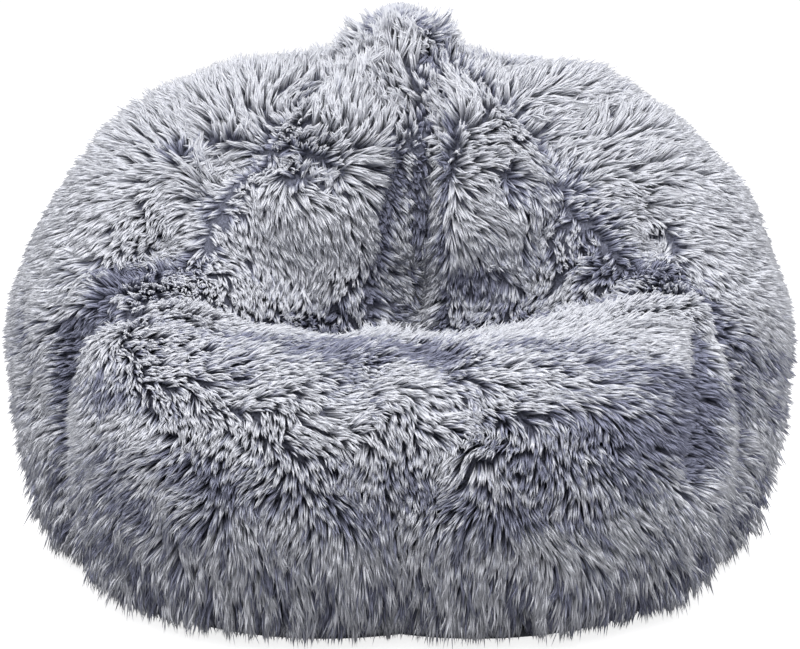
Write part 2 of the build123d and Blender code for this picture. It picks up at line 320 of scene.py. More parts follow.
def moulded_material(name, plain, roughness, scale, metallic=0.0):
    """Moulded or cast finish: faint mottling, and gloss that varies with handling."""
    material, tree, surface = shader(name, Metallic=metallic)
    place = node(tree, "TexCoord").outputs["Object"]
    grain = node(tree, "TexNoise", {"Vector": place, "Scale": scale, "Detail": 6.0}).outputs["Fac"]
    shade = ramp(tree, grain, [(0.25, darker(plain, 0.72)), (0.75, plain)])
    tree.links.new(shade, surface.inputs["Base Color"])
    gloss = {"Value": grain, "To Min": roughness * 0.75, "To Max": roughness * 1.25}
    tree.links.new(node(tree, "MapRange", gloss).outputs["Result"], surface.inputs["Roughness"])
    bump = node(tree, "Bump", {"Height": grain, "Strength": 0.2, "Distance": 0.0003})
    tree.links.new(bump.outputs["Normal"], surface.inputs["Normal"])
    return material


def bead_material():
    """Foamed beads packed side by side."""
    liner = settings("liner")
    material, tree, surface = shader("foam_beads", Roughness=0.85)
    place = node(tree, "TexCoord").outputs["Object"]
    beads = node(tree, "TexVoronoi", {"Vector": place, "Scale": 1.0 / liner.bead}).outputs["Distance"]
    # Painted shade: each bead darkens towards its edges, between the beads
    shade = ramp(tree, beads, [(0.2, liner.bead_white), (0.75, darker(liner.bead_white, 0.35))])
    tree.links.new(shade, surface.inputs["Base Color"])
    bump = node(tree, "Bump", {"Height": beads, "Strength": 1.0, "Distance": liner.bead}, invert=True)
    tree.links.new(bump.outputs["Normal"], surface.inputs["Normal"])
    return material


# Shapes


def finished(name, bm, material, body="bag", nodes=()):
    """Turn a bmesh into a piece that rides on a body and stands for the solids it replaces."""
    mesh = bpy.data.meshes.new(name)
    bm.to_mesh(mesh)
    bm.free()
    return dressed(name, mesh, material, body, nodes)


def dressed(name, mesh, material, body="bag", nodes=()):
    """Put a mesh in the scene as a piece of the chair."""
    mesh.polygons.foreach_set("use_smooth", [True] * len(mesh.polygons))
    mesh.materials.append(material)
    piece = bpy.data.objects.new(name, mesh)
    bpy.context.scene.collection.objects.link(piece)
    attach(piece, body)
    if nodes:
        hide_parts(*nodes)
    return piece


def solid_tree(names):
    """Ray-casting tree over the solids of some CAD nodes."""
    corners, faces = [], []
    for name in names:
        mesh = frame["nodes"][name].data
        first = len(corners)
        corners.extend(vertex.co.copy() for vertex in mesh.vertices)
        faces.extend([first + index for index in face.vertices] for face in mesh.polygons)
    return BVHTree.FromPolygons(corners, faces)


HUB_REACH = 0.06  # the profiles are sighted from a ring round the crown axis
HUB_HEIGHT = 0.2
SIGHT_TOP = 97.0
SIGHT_FOOT = -60.0
SIGHT_COUNT = 240
SIGHT_FAR = 1.5


def meridian(tree, azimuth, rows, start, foot):
    """Points down a profile of the solids, evenly spaced from the crown's edge to the foot."""
    turn = math.radians(azimuth)
    outwards = Vector((math.sin(turn), -math.cos(turn), 0.0))
    hub = CROWN + outwards * HUB_REACH + Vector((0.0, 0.0, HUB_HEIGHT))
    line = []
    for sight in np.radians(np.linspace(SIGHT_TOP, SIGHT_FOOT, SIGHT_COUNT)):
        ray = outwards * math.cos(sight) + Vector((0.0, 0.0, math.sin(sight)))
        place = tree.ray_cast(hub + ray * SIGHT_FAR, -ray)[0]
        if place is None or (place - CROWN).dot(outwards) < start:
            continue
        line.append(place)
        if place.z < foot:
            break
    if len(line) < rows / 2:
        raise RuntimeError(f"no profile found at azimuth {azimuth:.0f}")
    line = np.array(line)
    run = np.concatenate([[0.0], np.cumsum(np.linalg.norm(np.diff(line, axis=0), axis=1))])
    steps = np.linspace(0.0, run[-1], rows + 1)
    return np.stack([np.interp(steps, run, line[:, axis]) for axis in range(3)], axis=1)


def wrap(names, columns, rows, start, foot):
    """Grid of points on the outside of some solids: columns round the crown axis, rows down."""
    tree = solid_tree(names)
    turns = np.arange(len(GORES) * columns) * GORE_SPAN / columns
    grid = np.array([meridian(tree, azimuth, rows, start, foot) for azimuth in turns])
    seams = np.arange(len(GORES)) * columns
    grid[seams] = (grid[seams - 1] + grid[seams + 1]) / 2
    return grid


def even(grid, passes):
    """A wrapped grid smoothed between its first and last rows."""
    for _ in range(passes):
        grid = (np.roll(grid, 1, axis=0) + 2 * grid + np.roll(grid, -1, axis=0)) / 4
        grid[:, 1:-1] = (grid[:, :-2] + 2 * grid[:, 1:-1] + grid[:, 2:]) / 4
    return grid


def unit(vectors):
    """Vectors scaled to length one."""
    return vectors / np.maximum(np.linalg.norm(vectors, axis=-1, keepdims=True), 1e-9)


def rise(values, start, span):
    """0 up to a start, and from there up to 1 over a span."""
    return np.clip((values - start) / span, 0.0, 1.0)


def fall(values, end, span):
    """1 well below an end, and down to 0 over the span below it."""
    return np.clip((end - values) / span, 0.0, 1.0)


def bell(values, width):
    """1 at zero, dying away to both sides over a width."""
    return np.exp(-((values / width) ** 2))


def facing(grid):
    """Outward normals of a wrapped grid that closes on itself."""
    across = np.roll(grid, -1, axis=0) - np.roll(grid, 1, axis=0)
    return unit(np.cross(np.gradient(grid, axis=1), across))


FACING_PASSES = 4
INSET_PASSES = 2


def moved_in(grid, depth):
    """A wrapped grid moved in by a depth."""
    return grid - facing(even(grid, FACING_PASSES)) * depth


GORES_START = 0.9  # of the crown cap's radius
GORES_FOOT = 0.004


def cover_outside(columns, rows):
    """Grid of points on the outside of the cover's solids, from the crown to the foot."""
    names = [f"{gore}_gore" for gore in GORES] + ["crown_cap"]
    return wrap(names, columns, rows, CROWN_RADIUS * GORES_START, GORES_FOOT)


def turns_round(grid):
    """Azimuth of each column of a wrapped grid, in degrees, and how far it lies from the seat's middle."""
    turns = np.arange(len(grid)) * 360 / len(grid)
    return turns, np.minimum(turns, 360 - turns)


def gore_part(grid, index, columns):
    """The columns of one gore, both of its seams included."""
    picked = np.arange(index * columns, (index + 1) * columns + 1) % len(grid)
    return grid[picked]


def gore_mesh(points):
    """A flat grid laid over the points of a gore."""
    columns, rows = points.shape[0] - 1, points.shape[1] - 1
    bm = bmesh.new()
    bmesh.ops.create_grid(bm, x_segments=columns, y_segments=rows, size=0.5)
    for vertex in bm.verts:
        column = round((vertex.co.x + 0.5) * columns)
        row = round((0.5 - vertex.co.y) * rows)
        vertex.co = points[column, row]
    return bm


def gore_points(mesh, columns, rows):
    """The points of a gore's mesh, back in columns and rows."""
    flat = np.empty(len(mesh.vertices) * 3)
    mesh.vertices.foreach_get("co", flat)
    return flat.reshape(rows + 1, columns + 1, 3)[::-1].transpose(1, 0, 2)


def walled(skin, thickness):
    """Give a skin the thickness of its cloth, inwards."""
    wall = skin.modifiers.new("Cloth", "SOLIDIFY")
    wall.thickness = thickness
    wall.offset = -1.0


CLOTH_FRAMES = 20


def fill_out(skins):
    """Blow the cloth up between its pinned seams, and keep the result in the meshes."""
    cover = settings("cover")
    scene = bpy.context.scene
    rest = {}
    for skin in skins:
        pins = skin.vertex_groups.new(name="seams")
        bm = bmesh.new()
        bm.from_mesh(skin.data)
        pins.add([vertex.index for vertex in bm.verts if vertex.is_boundary], 1.0, "REPLACE")
        bm.free()
        rest[skin] = np.array([vertex.co for vertex in skin.data.vertices])
        cloth = skin.modifiers.new("Filling", "CLOTH")
        cloth.settings.vertex_group_mass = pins.name
        cloth.settings.use_pressure = True
        cloth.settings.uniform_pressure_force = cover.pressure
        cloth.settings.shrink_min = -cover.slack
        cloth.settings.effector_weights.gravity = 0.0
        cloth.point_cache.frame_start = 1
        cloth.point_cache.frame_end = CLOTH_FRAMES
    for step in range(1, CLOTH_FRAMES + 1):
        scene.frame_set(step)
    graph = bpy.context.evaluated_depsgraph_get()
    swollen = {}
    for skin in skins:
        shaped = skin.evaluated_get(graph).data
        swollen[skin] = np.array([vertex.co for vertex in shaped.vertices])
    for skin in skins:
        move = swollen[skin] - rest[skin]
        far = np.maximum(np.linalg.norm(move, axis=1, keepdims=True), 1e-9)
        move *= np.minimum(1.0, cover.swell / far)
        skin.modifiers.clear()
        skin.data.vertices.foreach_set("co", (rest[skin] + move).ravel())
        skin.data.update()
    scene.frame_set(1)


class Fold(NamedTuple):
    """A fold of the cover: places along it, its depth and width, and how far the pile parts along it."""

    line: tuple
    depth: float
    width: float
    parting: float


# A parting below 0 brushes the pile into its fold
FOLDS = {
    "leaning valley": Fold(
        ((0.045, 0.009, 0.583), (0.028, -0.036, 0.522), (0.014, -0.047, 0.433), (0.006, -0.061, 0.321)),
        depth=0.055, width=0.019, parting=-0.5,
    ),
    "left crease": Fold(
        ((-0.34, -0.15, 0.36), (-0.165, -0.135, 0.335), (-0.078, -0.094, 0.306), (0.0, -0.07, 0.3)),
        depth=0.018, width=0.018, parting=1.5,
    ),
    "right crease": Fold(
        ((0.0, -0.07, 0.3), (0.079, -0.089, 0.309), (0.178, -0.1, 0.344), (0.29, -0.14, 0.372)),
        depth=0.018, width=0.02, parting=1.5,
    ),
    "upper left fold": Fold(
        ((-0.25, 0.0, 0.5), (-0.162, -0.048, 0.49), (-0.078, -0.073, 0.467)),
        depth=0.022, width=0.02, parting=1.5,
    ),
    "left hollow": Fold(
        ((-0.29, -0.11, 0.392), (-0.235, -0.08, 0.4)), depth=0.028, width=0.022, parting=1.5
    ),
    "upper right fold": Fold(
        ((0.12, -0.055, 0.457), (0.172, -0.055, 0.455), (0.19, -0.06, 0.425)),
        depth=0.02, width=0.02, parting=1.5,
    ),
    "right tuck": Fold(
        ((0.16, -0.07, 0.395), (0.155, -0.08, 0.355)), depth=0.018, width=0.024, parting=1.5
    ),
    "right arm fold": Fold(
        ((0.302, -0.08, 0.418), (0.223, -0.099, 0.373)), depth=0.02, width=0.02, parting=1.5
    ),
    "middle tuck": Fold(
        ((0.02, -0.06, 0.327), (0.11, -0.076, 0.342)), depth=0.02, width=0.03, parting=1.5
    ),
    "seat lobe": Fold(
        ((-0.33, -0.19, 0.351), (-0.2, -0.215, 0.344), (-0.159, -0.252, 0.339), (-0.09, -0.29, 0.338)),
        depth=0.016, width=0.014, parting=1.0,
    ),
    "left groove": Fold(
        ((-0.345, -0.162, 0.35), (-0.38, -0.127, 0.302), (-0.39, -0.123, 0.255), (-0.391, -0.127, 0.2)),
        depth=0.038, width=0.022, parting=0.0,
    ),
    "right groove": Fold(
        ((0.335, -0.21, 0.337), (0.337, -0.264, 0.293), (0.335, -0.285, 0.244), (0.329, -0.306, 0.2)),
        depth=0.036, width=0.021, parting=0.0,
    ),
}


def off_line(points, line):
    """Shortest way from a line through some places to each of the points."""
    line = np.array(line)
    best = None
    for first, second in zip(line, line[1:]):
        run = second - first
        along = np.clip((points - first) @ run / (run @ run), 0.0, 1.0)
        way = points - first - along[..., None] * run
        if best is None:
            best = way
        nearer = np.linalg.norm(way, axis=-1) < np.linalg.norm(best, axis=-1)
        best = np.where(nearer[..., None], way, best)
    return best


def beside(points, normal, line):
    """Way along the cloth from a fold above it to each of the points."""
    way = off_line(points, line)
    return way - normal * np.sum(way * normal, axis=1, keepdims=True)


SEAM_FOOT = 0.04  # the seams' grooves fade down to this height, from a rise above it
SEAM_RISE = 0.15


def drawn_in(outside):
    """How far the seams of the sides and back, and the folds, draw in each point of a wrapped grid."""
    cover = settings("cover")
    turns, from_front = turns_round(outside)
    from_seam = np.abs((turns + GORE_SPAN / 2) % GORE_SPAN - GORE_SPAN / 2)
    outer = from_front > GORE_SPAN / 2
    depth = (outer * cover.seam_depth * bell(from_seam, cover.seam_width))[:, None]
    depth = depth * rise(outside[:, :, 2], SEAM_FOOT, SEAM_RISE)
    for fold in FOLDS.values():
        far = np.linalg.norm(off_line(outside, fold.line), axis=-1)
        depth = depth + fold.depth * bell(far, fold.width)
    return depth


CROWN_DEPTH = 0.2  # share of the pile's depth at the crown, and how fast it grows down the gore
CROWN_GROWTH = 8
BACKREST_FOOT = 0.36  # above this height the pile is thinner, by a share, after a rise
BACKREST_RISE = 0.08
BACKREST_THIN = 0.15
FOOT_TUCK = 0.018  # how far the cloth turns in under the hanging pile, which starts at a height
FOOT_TOP = 0.24
FOOT_FALL = 0.12
CORNER_WIDTH = 14  # degrees round the front corners, where the foot keeps a share of the tuck back
CORNER_KEEP = 0.8


class BEANBAG_OT_cover(bpy.types.Operator):
    """Backing cloth of the six gores, filled out between its seams"""

    bl_idname = "bean_bag.cover"
    bl_label = "Cover"

    def execute(self, context):
        cover = settings("cover")
        outside = cover_outside(cover.columns, cover.rows)
        inside = even(moved_in(outside, self.depth(outside)[:, :, None]), INSET_PASSES)
        inside[:, :, 2] = np.maximum(inside[:, :, 2], cover.cloth)
        cloth = backing_material()
        skins = []
        for index, gore in enumerate(GORES):
            bm = gore_mesh(gore_part(inside, index, cover.columns))
            skin = finished(f"{gore}_skin", bm, cloth, nodes=[f"{gore}_gore"])
            skins.append(skin)
        fill_out(skins)
        for skin in skins:
            walled(skin, cover.cloth)
        return {"FINISHED"}

    def depth(self, outside):
        """How far the backing cloth lies inside each point of the cover's outside."""
        cover = settings("cover")
        height = outside[:, :, 2]
        depth = cover.pile_depth + drawn_in(outside)
        down = np.linspace(0.0, 1.0, cover.rows + 1)
        depth = depth * np.clip(CROWN_DEPTH + CROWN_GROWTH * down, 0.0, 1.0)
        depth = depth * (1 - BACKREST_THIN * rise(height, BACKREST_FOOT, BACKREST_RISE))
        _, from_front = turns_round(outside)
        corner = bell(from_front - GORE_SPAN, CORNER_WIDTH)[:, None]
        return depth + FOOT_TUCK * fall(height, FOOT_TOP, FOOT_FALL) * (1 - CORNER_KEEP * corner)


def strand_template(cuts):
    """One closed, tapering three-sided strand, one unit long: its corners, faces and face corners' UVs."""
    bm = bmesh.new()
    bmesh.ops.create_circle(bm, segments=3, radius=1.0, cap_ends=True)
    ring = list(bm.edges)
    for low, high in zip(cuts, cuts[1:]):
        grown = bmesh.ops.extrude_edge_only(bm, edges=ring)["geom"]
        tops = [part for part in grown if isinstance(part, bmesh.types.BMVert)]
        ring = [part for part in grown if isinstance(part, bmesh.types.BMEdge)]
        bmesh.ops.translate(bm, verts=tops, vec=(0.0, 0.0, high - low))
    bmesh.ops.pointmerge(bm, verts=tops, merge_co=(0.0, 0.0, 1.0))
    bmesh.ops.recalc_face_normals(bm, faces=bm.faces)
    bm.verts.index_update()
    corners = np.array([vertex.co for vertex in bm.verts])
    faces = [[vertex.index for vertex in face.verts] for face in bm.faces]
    sides = []
    for face in bm.faces:
        middle = face.calc_center_median()
        for vertex in face.verts:
            ahead = middle.x * vertex.co.y - middle.y * vertex.co.x
            sides.append((0.5 + math.copysign(0.5, ahead) * (abs(ahead) > 1e-6), vertex.co.z))
    bm.free()
    return corners, faces, np.array(sides)


STRAND_CUTS = (0.0, 0.7, 1.0)
STRAND_TAPER = 0.22
TONE_WIDTH = 0.008  # of a strand, across the UV map

DRIFT_WAVES = 5
DRIFT_STRETCH = (0.7, 1.4)  # of each wave, as shares of the wavelength that is asked for
DRIFT_SUM = 2.2


def drift(points, wave, draw):
    """Smooth wandering number from about -1 to 1 over the points, at a wavelength in metres."""
    total = np.zeros(len(points))
    for _ in range(DRIFT_WAVES):
        heading = unit(draw.normal(size=3)) * 2 * math.pi / (wave * draw.uniform(*DRIFT_STRETCH))
        total += np.sin(points @ heading + draw.uniform(0, 2 * math.pi))
    return total / DRIFT_SUM


def scatter_locks(points, spacing, draw):
    """Roots of the locks over a gore: their places, normals, downward directions and shares down."""
    across = np.gradient(points, axis=0)
    down = np.gradient(points, axis=1)
    normal = unit(np.cross(down, across))
    wide, tall = points[1:, :-1] - points[:-1, :-1], points[:-1, 1:] - points[:-1, :-1]
    area = np.linalg.norm(np.cross(wide, tall), axis=2)
    picks = []
    for row in range(area.shape[1]):
        edges = np.concatenate([[0.0], np.cumsum(area[:, row])])
        count = int(edges[-1] / spacing**2 + draw.random())
        where = (np.arange(count) + draw.random(count)) / max(count, 1) * edges[-1]
        column = np.clip(np.searchsorted(edges, where, side="right") - 1, 0, len(area) - 1)
        part = (where - edges[column]) / area[column, row]
        picks.append(np.stack([column + part, row + draw.random(count)], axis=1))
    picks = np.concatenate(picks)
    low = np.floor(picks).astype(int)
    part = picks - low
    c, r, u, v = low[:, 0], low[:, 1], part[:, :1], part[:, 1:]

    def at(field):
        top = field[c, r] * (1 - u) + field[c + 1, r] * u
        bottom = field[c, r + 1] * (1 - u) + field[c + 1, r + 1] * u
        return top * (1 - v) + bottom * v

    normal = unit(at(normal))
    down = at(down)
    down = unit(down - normal * np.sum(down * normal, axis=1, keepdims=True))
    return at(points), normal, down, picks[:, 1] / (points.shape[1] - 1)


LOCK_WIDTH = 0.62  # half the width of a lock at its root, as a share of the locks' spacing
LOCK_CLOSING = 1.2  # power by which a lock closes up towards its tip
STRAND_REACH = (0.8, 1.12)
STRAND_WIDTH = (0.8, 1.15)
STRAND_STRAY = 0.13
STRAND_TONE = 0.1
SKEW = 0.01  # keeps two directions from being the same
FLOOR_GAP = 0.002  # least and most height of the tips that lie on the floor
FLOOR_GAP_MOST = 0.006


def grow_pile(name, locks, draw, material):
    """Strands on the locks: each curves from its root along the comb, and its lock closes up at the tip."""
    pile = settings("pile")
    count = pile.strands
    root, start, end, reach, tone = [np.repeat(field, count, axis=0) for field in locks]
    many = len(root)
    reach = reach * draw.uniform(*STRAND_REACH, many)
    away = pile.spacing * LOCK_WIDTH * np.sqrt(draw.random(many))
    turn = draw.uniform(0, 2 * math.pi, many)
    level = unit(np.cross(start, draw.normal(size=(many, 3))))
    other = np.cross(start, level)
    offset = (level * np.cos(turn)[:, None] + other * np.sin(turn)[:, None]) * away[:, None]
    end = unit(end + draw.normal(size=(many, 3)) * STRAND_STRAY)
    radius = pile.radius * draw.uniform(*STRAND_WIDTH, many)
    tone = np.clip(tone + draw.normal(size=many) * STRAND_TONE, 0.0, 1.0 - TONE_WIDTH)
    corners, faces, sides = strand_template(STRAND_CUTS)
    t = corners[:, 2][None, :, None]
    centre = root[:, None] + offset[:, None] * (1 - pile.gather * t**LOCK_CLOSING)
    centre = centre + reach[:, None, None] * (start[:, None] * t + (end - start)[:, None] * t**2 / 2)
    heading = unit(start[:, None] * (1 - t) + end[:, None] * t)
    right = unit(np.cross(heading, level[:, None] + SKEW))
    above = np.cross(right, heading)
    width = radius[:, None, None] * np.maximum(1 - t, 0.0) ** STRAND_TAPER
    skin = centre + width * (right * corners[None, :, :1] + above * corners[None, :, 1:2])
    floor = FLOOR_GAP + FLOOR_GAP_MOST * draw.random(many)[:, None]
    skin[:, :, 2] = np.maximum(skin[:, :, 2], np.minimum(floor, FLOOR_GAP_MOST))
    return strand_mesh(name, skin, faces, sides, tone, material)


def strand_mesh(name, skin, faces, sides, tone, material):
    """One mesh that holds every strand, with the tone across its UV map and the root to the tip up it."""
    many, corner_count = skin.shape[:2]
    flat = np.concatenate(faces)
    sizes = np.array([len(face) for face in faces])
    starts = np.concatenate([[0], np.cumsum(sizes)[:-1]])
    mesh = bpy.data.meshes.new(name)
    mesh.vertices.add(many * corner_count)
    mesh.loops.add(many * len(flat))
    mesh.polygons.add(many * len(faces))
    mesh.vertices.foreach_set("co", skin.astype(np.float32).ravel())
    loops = (np.arange(many)[:, None] * corner_count + flat[None]).ravel()
    mesh.loops.foreach_set("vertex_index", loops.astype(np.int32))
    firsts = (np.arange(many)[:, None] * len(flat) + starts[None]).ravel()
    mesh.polygons.foreach_set("loop_start", firsts.astype(np.int32))
    layer = mesh.uv_layers.new(name=PILE_UV)
    uv = np.empty((many, len(flat), 2), np.float32)
    uv[:, :, 0] = tone[:, None] + sides[None, :, 0] * TONE_WIDTH
    uv[:, :, 1] = sides[None, :, 1]
    layer.data.foreach_set("uv", uv.ravel())
    mesh.update(calc_edges=True)
    return dressed(name, mesh, material)


# Middles of the swells that the pile is brushed away from, and how far each one reaches
SWELLS = (
    ((-0.19, -0.05, 0.46), 0.2),
    ((0.057, -0.045, 0.47), 0.2),
    ((-0.33, 0.0, 0.42), 0.13),
    ((0.33, 0.0, 0.42), 0.13),
)

# Painted shade: places where the pile's tone is darkened for the shade behind the seat's front edge and on
# its right front: their middles, radii and strength
PAINTED_SHADES = (
    ((-0.05, -0.265, 0.305), (0.26, 0.075, 0.05), 0.75),
    ((0.25, -0.31, 0.27), (0.1, 0.08, 0.06), 0.5),
)

# Wavelengths of what wanders over the pile, in the order in which they are drawn
WANDERING = {
    "broad swirl": 0.25,
    "fine swirl": 0.06,
    "lift": 0.12,
    "clump": 0.08,
    "reach": 0.09,
    "fine tone": 0.07,
    "broad tone": 0.2,
}
STREAK_STRETCH = np.array([1.0, 1.0, 0.15])
STREAK_WAVE = 0.03

# Hanging pile: the fringe starts at a height, and below another it gathers in staggered rows of clumps
FRINGE_TOP = 0.2
CLUMP_TOP = 0.18
CLUMP_FALL = 0.09
CLUMP_ROW = 0.045
CLUMP_WANDER = 0.4
CLUMP_PULL = 1.2
NO_SEAM = 1.0  # stands for the distance to a seam on the two front gores' middle, which shows none

# Seams and folds: how deep the pile sinks in a seam, and in a fold for its depth; the depth shortens the
# pile there and darkens it with painted shade
SEAM_SUNK = 0.7
FOLD_FULL = 0.04
FOLD_MOST = 1.4

# Front edge of the seat: where a painted highlight makes it pale, and where it is brushed to the right from
# its left end
SEAT_FRONT = -0.12
# painted highlight: height and width of the pale band along the seat's front edge
RIM_HIGHLIGHT = 0.315
RIM_HIGHLIGHT_WIDTH = 0.035
BRUSHED_RIM = 0.305
BRUSHED_RIM_WIDTH = 0.05
RIM_LEFT = -0.37
RIM_RUN = 0.12
RIM_BRUSH = 3.5

# Brushing: up to the crown above a crest, down below it, off the swells, and away from folds and seams
CREST = 0.14
CREST_RUN = 0.06
SWELL_BRUSH = 3.0
FOLD_SPREAD = 1.3
SEAM_BRUSH = 2.5
SEAM_SPREAD = 2
LEAN_FOOT = 0.34
LEAN_RISE = 0.06
LEAN_LOW = 0.12
LEAN_HIGH = 0.63
LEAN_RUN = 0.12
LEAN_CROWN = 0.3

# Swirl of the comb, most where the pile stands
SWIRL_BROAD = 0.8
SWIRL_STANDING = 2.2
SWIRL_LEANING = 1.4
SWIRL_STREAK = 0.4
SWIRL_STRAY = 0.2

# Lift of the pile, and shares of it that are lost where it leans, hangs or lies between clumps
LIFT_WANDER = 0.2
LIFT_STRAY = 0.12
LIFT_LEAN = 0.35
LIFT_FRINGE = 0.55
LIFT_EDGE = 0.5

# Course of a lock: how far it follows the comb at its root and its tip, and the pull of its weight
ROOT_FLOW = 0.15
ROOT_LEAN = 0.6
TIP_FLOW = 0.4
TIP_LEAN = 0.9
TIP_LIFT = 0.75
TIP_FRINGE = 0.6
WEIGHT_SHORT = 0.2
WEIGHT_FRINGE = 1.2
WEIGHT_EASED = 0.03
WEIGHT_LEAST = 0.2

# Length of the pile: what the floor leaves room for, shorter between clumps and longer by the crown
REACH_WANDER = 0.12
REACH_STRAY = 0.2
FLOOR_REACH = 0.014
FLOOR_GROWTH = 0.8
EDGE_SHORT = 0.2
CROWN_LONG = 0.3
CROWN_RUN = 0.06

# Tone of a lock: paler with height and along the seat's edge, which is painted light from above, and darker
# in folds and between clumps, which is painted shade
TONE_LOW = 0.4
# painted light: how much paler the pile grows with height, where the overhead light falls on the backrest
TONE_PAINTED_TOP_LIGHT = 0.55
TONE_FOOT = 0.24
TONE_RISE = 0.16
# painted highlight: how much paler the seat's front edge is
TONE_RIM_HIGHLIGHT = 0.28
TONE_STREAK = 0.35
TONE_CLUMP = 0.45
# painted shade: how much darker the pile is in the gaps between the hanging clumps
TONE_GAP_SHADE = 1.3
# painted shade: how much darker the pile is where it sinks in a seam or fold
TONE_FOLD_SHADE = 0.9
TONE_WANDER = 0.15
TONE_STRAY = 0.12
TONE_FRINGE = 0.25

UPPER_SHARE = 0.56  # of the way down a gore, to the end of its upper piece of pile


class Locks:
    """The locks of fur on one gore, shaped by where each one is rooted."""

    def __init__(self, points, draw):
        pile = settings("pile")
        self.draw = draw
        self.root, self.normal, self.down, self.low = scatter_locks(points, pile.spacing, draw)
        self.height = self.root[:, 2]
        right, front = self.root[:, 0] - CROWN.x, CROWN.y - self.root[:, 1]
        azimuth, far = np.arctan2(right, front), np.hypot(right, front)
        self.around = np.stack([np.cos(azimuth), np.sin(azimuth), np.zeros(len(far))], axis=1)
        turned = np.degrees(azimuth)
        from_seam = np.radians((turned + GORE_SPAN / 2) % GORE_SPAN - GORE_SPAN / 2) * far
        self.from_seam = np.where(np.abs(turned) > GORE_SPAN / 2, from_seam, NO_SEAM)
        waves = np.random.default_rng(pile.seed)
        self.streak = drift(self.root * STREAK_STRETCH, STREAK_WAVE, waves)
        self.wander = {name: drift(self.root, wave, waves) for name, wave in WANDERING.items()}
        self.fringe = fall(self.height, FRINGE_TOP, FRINGE_TOP)
        self.hung = fall(self.height, CLUMP_TOP, CLUMP_FALL)
        stagger = np.floor(self.height / CLUMP_ROW) % 2 / 2
        clump = azimuth * far / pile.clump + stagger + CLUMP_WANDER * self.wander["clump"]
        self.aside = np.round(clump) - clump
        self.edge = 2 * np.abs(self.aside) * self.hung
        self.sunk = self.sinking()

    def sinking(self):
        """How deep each lock lies in a seam or fold."""
        sunk = SEAM_SUNK * bell(self.from_seam, settings("pile").seam_width)
        sunk = sunk * rise(self.height, SEAM_FOOT, SEAM_RISE)
        for fold in FOLDS.values():
            far = np.linalg.norm(beside(self.root, self.normal, fold.line), axis=1)
            deep = min(fold.depth / FOLD_FULL, FOLD_MOST)
            sunk = np.maximum(sunk, deep * bell(far, fold.width))
        return sunk

    def rim(self, height, width):
        """1 along the front edge of the seat, dying away over a width."""
        return bell(self.height - height, width) * (self.root[:, 1] < SEAT_FRONT)

    def brushing(self):
        """Direction in which the pile is brushed, and how far it leans."""
        heading = self.down * np.tanh((self.low - CREST) / CREST_RUN)[:, None]
        lean = LEAN_LOW + LEAN_HIGH * rise(self.height, LEAN_FOOT, LEAN_RISE)
        lean = lean * np.clip(self.low / LEAN_RUN, LEAN_CROWN, 1.0)
        for middle, spread in SWELLS:
            away = self.root - np.array(middle)
            near = bell(np.linalg.norm(away, axis=1), spread)
            heading = heading + away * (SWELL_BRUSH * near / spread)[:, None]
            lean = np.maximum(lean, near)
        for fold in FOLDS.values():
            away = beside(self.root, self.normal, fold.line)
            near = bell(np.linalg.norm(away, axis=1), FOLD_SPREAD * fold.width)
            heading = heading + unit(away) * (fold.parting * near)[:, None]
        rim = self.rim(BRUSHED_RIM, BRUSHED_RIM_WIDTH)
        heading[:, 0] += RIM_BRUSH * rim * np.tanh((self.root[:, 0] - RIM_LEFT) / RIM_RUN)
        lean = np.maximum(lean, rim)
        parted = np.sign(self.from_seam) * bell(self.from_seam, SEAM_SPREAD * settings("pile").seam_width)
        heading = heading + self.around * (SEAM_BRUSH * parted)[:, None]
        heading = heading - self.normal * np.sum(heading * self.normal, axis=1, keepdims=True)
        return unit(heading), lean * np.minimum(np.linalg.norm(heading, axis=1), 1.0)

    def flow(self):
        """Direction in which each lock flows, which swirls about the brushing, and how far it leans."""
        heading, lean = self.brushing()
        side = np.cross(self.normal, heading)
        turn = SWIRL_BROAD * self.wander["broad swirl"] + self.wander["fine swirl"]
        turn = turn * settings("pile").swirl * (SWIRL_STANDING - SWIRL_LEANING * lean)
        turn = turn + SWIRL_STREAK * self.streak * self.fringe
        turn = turn + SWIRL_STRAY * self.draw.normal(size=len(turn))
        return heading * np.cos(turn)[:, None] + side * np.sin(turn)[:, None], lean

    def course(self):
        """Directions of each lock at its root and at its tip."""
        flow, lean = self.flow()
        stray = LIFT_STRAY * self.draw.normal(size=len(lean))
        lift = settings("pile").lift * (1 + LIFT_WANDER * self.wander["lift"] + stray)
        lift = lift * (1 - LIFT_LEAN * lean) * (1 - LIFT_FRINGE * self.fringe) * (1 - LIFT_EDGE * self.edge)
        start = flow * (ROOT_FLOW + ROOT_LEAN * lean)[:, None] + self.normal * lift[:, None]
        end = flow * (TIP_FLOW + TIP_LEAN * lean)[:, None]
        end = end + self.normal * (TIP_LIFT * lift * (1 - TIP_FRINGE * self.fringe))[:, None]
        end = end + self.around * (CLUMP_PULL * self.aside * self.hung)[:, None]
        eased = np.clip(self.height / WEIGHT_EASED, WEIGHT_LEAST, 1.0)
        end[:, 2] -= WEIGHT_SHORT + WEIGHT_FRINGE * self.fringe * eased
        return unit(start), unit(end)

    def reach(self):
        """Length of the pile in each lock."""
        pile = settings("pile")
        reach = pile.strand_length + (pile.fringe_length - pile.strand_length) * self.fringe
        stray = REACH_STRAY * self.fringe * self.draw.normal(size=len(reach))
        reach = reach * (1 + REACH_WANDER * self.wander["reach"] + stray)
        room = FLOOR_REACH + FLOOR_GROWTH * np.maximum(self.height - FLOOR_GAP_MOST, 0.0)
        reach = np.minimum(reach, room) * (1 - EDGE_SHORT * self.edge)
        reach = reach * (1 + CROWN_LONG * bell(self.low, CROWN_RUN))
        return reach * (1 - pile.seam_trim * self.sunk)

